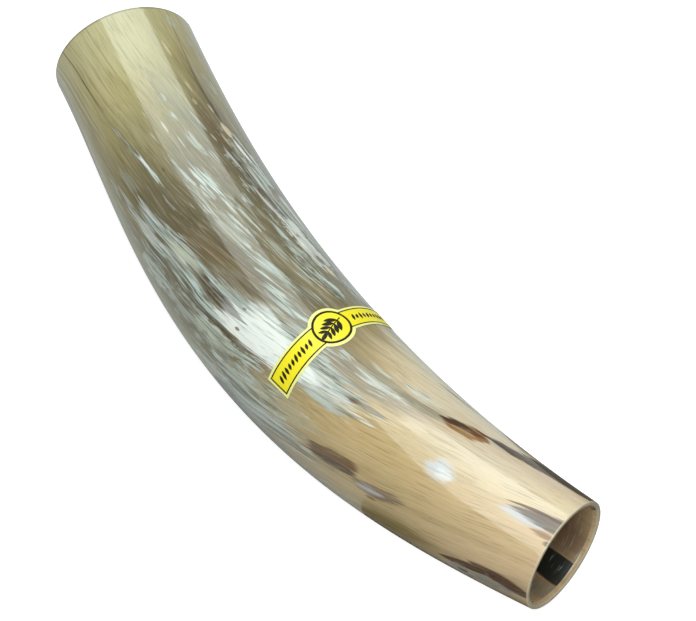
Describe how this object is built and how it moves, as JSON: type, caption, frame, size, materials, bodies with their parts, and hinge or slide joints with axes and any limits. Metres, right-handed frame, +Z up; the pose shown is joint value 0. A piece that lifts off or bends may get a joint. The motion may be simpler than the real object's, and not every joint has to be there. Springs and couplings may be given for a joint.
{
  "type": "ox horn call",
  "caption": "Polished ox-horn call: a gently curved, hollow horn tube, sawn open at both ends and chamfered at the small mouth, with a thin paper banner label wrapped round its belly.",
  "frame": {"origin": "middle of the bounding box's floor, with the horn lying on its side as it rests on a table", "axes": "+Z up, +X from the large end to the small mouth, +Y towards the inside of the bend"},
  "size_m": [0.346, 0.0954, 0.071],
  "materials": {
    "horn": "natural cattle horn, polished to a high gloss, streaked olive, milky white, tan and dark brown",
    "label": "semi-gloss yellow paper sticker with a thin black outline"
  },
  "bodies": {
    "root": {"horn": "horn", "label": "label"}
  },
  "joints": []
}
